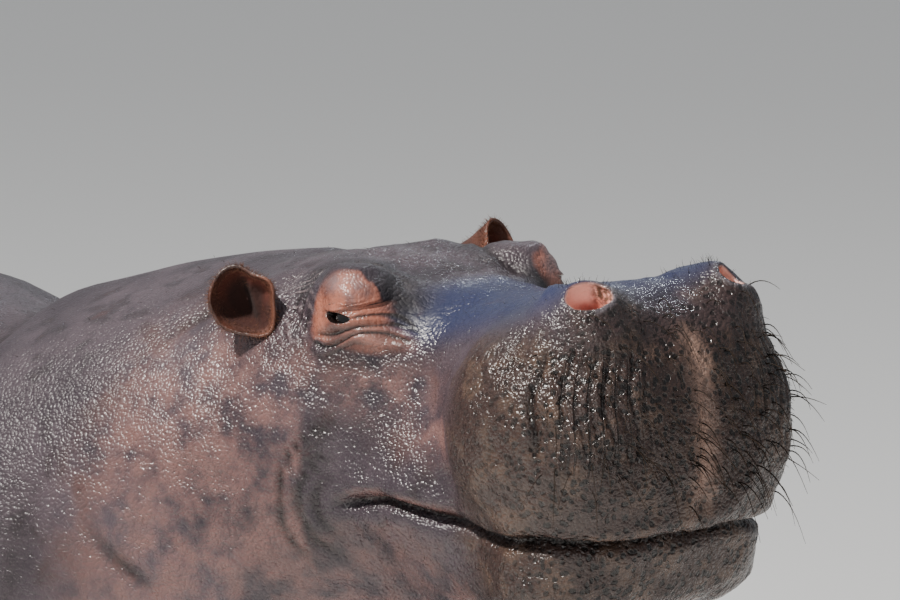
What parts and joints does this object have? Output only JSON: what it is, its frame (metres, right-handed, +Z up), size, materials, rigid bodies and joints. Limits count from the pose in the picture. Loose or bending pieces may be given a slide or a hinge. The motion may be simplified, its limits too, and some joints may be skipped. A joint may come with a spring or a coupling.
{
  "type": "hippopotamus",
  "caption": "Life-size still model of an adult hippopotamus standing on its feet, head raised level with its back and turned to its right, mouth closed.",
  "frame": {"origin": "centre of the bottom of the box round the whole animal, on the ground between its feet", "axes": "+Z up; the body lies along Y with its face towards -Y and its tail towards +Y; +X is the animal's left"},
  "size_m": [1.069, 3.1604, 1.4901],
  "materials": {
    "skin": "bare wet hide with fine wrinkles, pink round the eyes, ears and folds",
    "eye": "wet and glossy, dark brown",
    "nail": "worn horn",
    "bristle": "stiff dark bristles of the lips, ears and tail"
  },
  "bodies": {
    "root": {"trunk": "skin", "neck": "skin", "head": "skin", "lower_jaw": "skin", "tail": "skin", "leg_front_left": "skin", "leg_front_right": "skin", "leg_hind_left": "skin", "leg_hind_right": "skin", "ear_left": "skin", "ear_right": "skin", "eye_left": "eye", "eye_right": "eye", "nail_front_left_inner": "nail", "nail_front_left_inner_middle": "nail", "nail_front_left_outer_middle": "nail", "nail_front_left_outer": "nail", "nail_front_right_inner": "nail", "nail_front_right_inner_middle": "nail", "nail_front_right_outer_middle": "nail", "nail_front_right_outer": "nail", "nail_hind_left_inner": "nail", "nail_hind_left_inner_middle": "nail", "nail_hind_left_outer_middle": "nail", "nail_hind_left_outer": "nail", "nail_hind_right_inner": "nail", "nail_hind_right_inner_middle": "nail", "nail_hind_right_outer_middle": "nail", "nail_hind_right_outer": "nail"}
  },
  "joints": []
}
